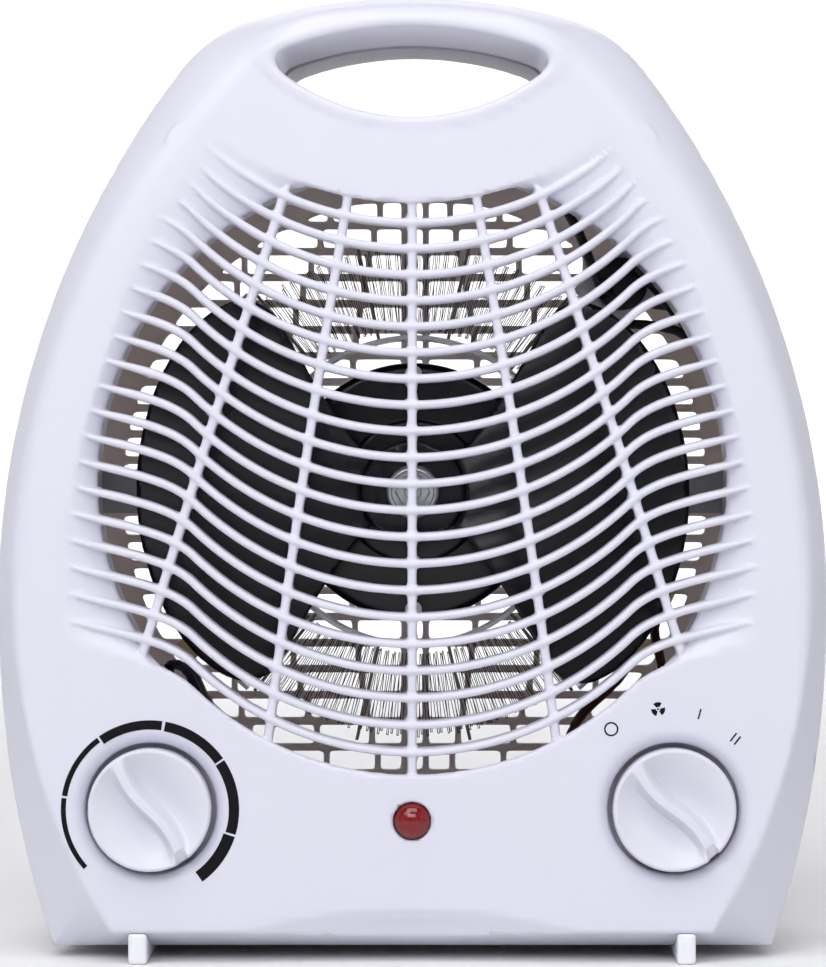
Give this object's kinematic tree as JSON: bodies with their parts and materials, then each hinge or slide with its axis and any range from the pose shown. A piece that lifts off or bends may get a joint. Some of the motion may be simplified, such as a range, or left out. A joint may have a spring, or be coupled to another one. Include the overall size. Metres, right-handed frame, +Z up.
{
  "type": "fan convector heater",
  "caption": "Upright fan heater: two-part plastic body with carry handle and curved grille, fan and motor, wire heating element, thermostat and selector knobs, indicator lamp and two skid feet.",
  "frame": {"origin": "bottom centre of the whole heater's box, on the surface it stands on", "axes": "+Z up, +X to the viewer's right when facing the grille, front faces -Y"},
  "size_m": [0.2108, 0.1146, 0.2437],
  "materials": {
    "shell_plastic": "fine satin moulded, pale lavender white",
    "foot_plastic": "satin white",
    "knob_plastic": "smooth satin",
    "red_lens": "glossy translucent red",
    "lamp_glass": "clear warm glass",
    "zinc_steel": "zinc-plated steel",
    "bright_steel": "bright turned steel",
    "lamination_steel": "stacked laminations",
    "black_plastic": "black, slight gloss",
    "black_steel": "satin black paint",
    "bimetal_strip": "dull yellow bimetal",
    "contact_copper": "copper alloy",
    "winding_copper": "enamelled copper wire",
    "sintered_bronze": "oil-filled sintered bronze",
    "mica": "flaky mica sheet",
    "nichrome": "oxidised resistance wire",
    "ceramic": "glazed ceramic",
    "brass_tag": "tinned brass tag",
    "lead_brown": "brown lead insulation",
    "lead_blue": "dark blue lead insulation",
    "lead_black": "black sleeved lead",
    "clear_clip": "milky nylon"
  },
  "bodies": {
    "case": {"front_shell": "shell_plastic", "rear_shell": "shell_plastic", "foot_left": "foot_plastic", "foot_right": "foot_plastic", "case_screws": "zinc_steel", "indicator_lens": "red_lens", "indicator_lamp": "lamp_glass", "thermostat_frame": "zinc_steel", "thermostat_bimetal": "bimetal_strip", "thermostat_contacts": "contact_copper", "selector_switch_body": "black_plastic", "selector_terminals": "brass_tag", "motor_front_cover": "black_steel", "motor_rear_cover": "black_steel", "stator_core": "lamination_steel", "stator_coils": "winding_copper", "front_bearing": "sintered_bronze", "rear_bearing": "sintered_bronze", "motor_screws": "zinc_steel", "motor_mount": "zinc_steel", "mount_screws": "zinc_steel", "heater_outer_ring": "zinc_steel", "heater_inner_ring": "zinc_steel", "mica_arms": "mica", "heating_wire_front": "nichrome", "heating_wire_rear": "nichrome", "heater_brackets": "zinc_steel", "element_terminals": "brass_tag", "cutout_bracket": "zinc_steel", "thermal_cutout": "black_plastic", "thermal_fuse": "ceramic", "terminal_block": "ceramic", "terminal_screws": "brass_tag", "lead_switch": "lead_brown", "lead_thermostat": "lead_blue", "lead_cutout": "lead_black", "lead_motor": "lead_black", "lead_element": "lead_brown", "wire_clamp": "clear_clip", "cord_gland": "clear_clip"},
    "fan": {"fan_impeller": "black_plastic", "spinner_nut": "bright_steel", "motor_shaft": "bright_steel", "rotor_core": "lamination_steel"},
    "thermostat": {"thermostat_knob": "knob_plastic", "thermostat_spindle": "bright_steel"},
    "selector": {"selector_knob": "knob_plastic", "selector_spindle": "clear_clip"}
  },
  "joints": [
    {"name": "fan_spin", "type": "hinge", "parent": "case", "child": "fan", "pos_m": [0, -0.02, 0.1183], "axis": [0, -1, 0], "continuous": true},
    {"name": "thermostat_turn", "type": "hinge", "parent": "case", "child": "thermostat", "pos_m": [-0.0655, -0.0535, 0.0389], "axis": [0, -1, 0], "range_deg": [-178, 97]},
    {"name": "selector_turn", "type": "hinge", "parent": "case", "child": "selector", "pos_m": [0.0655, -0.0535, 0.0389], "axis": [0, -1, 0], "range_deg": [-80, 0]}
  ]
}
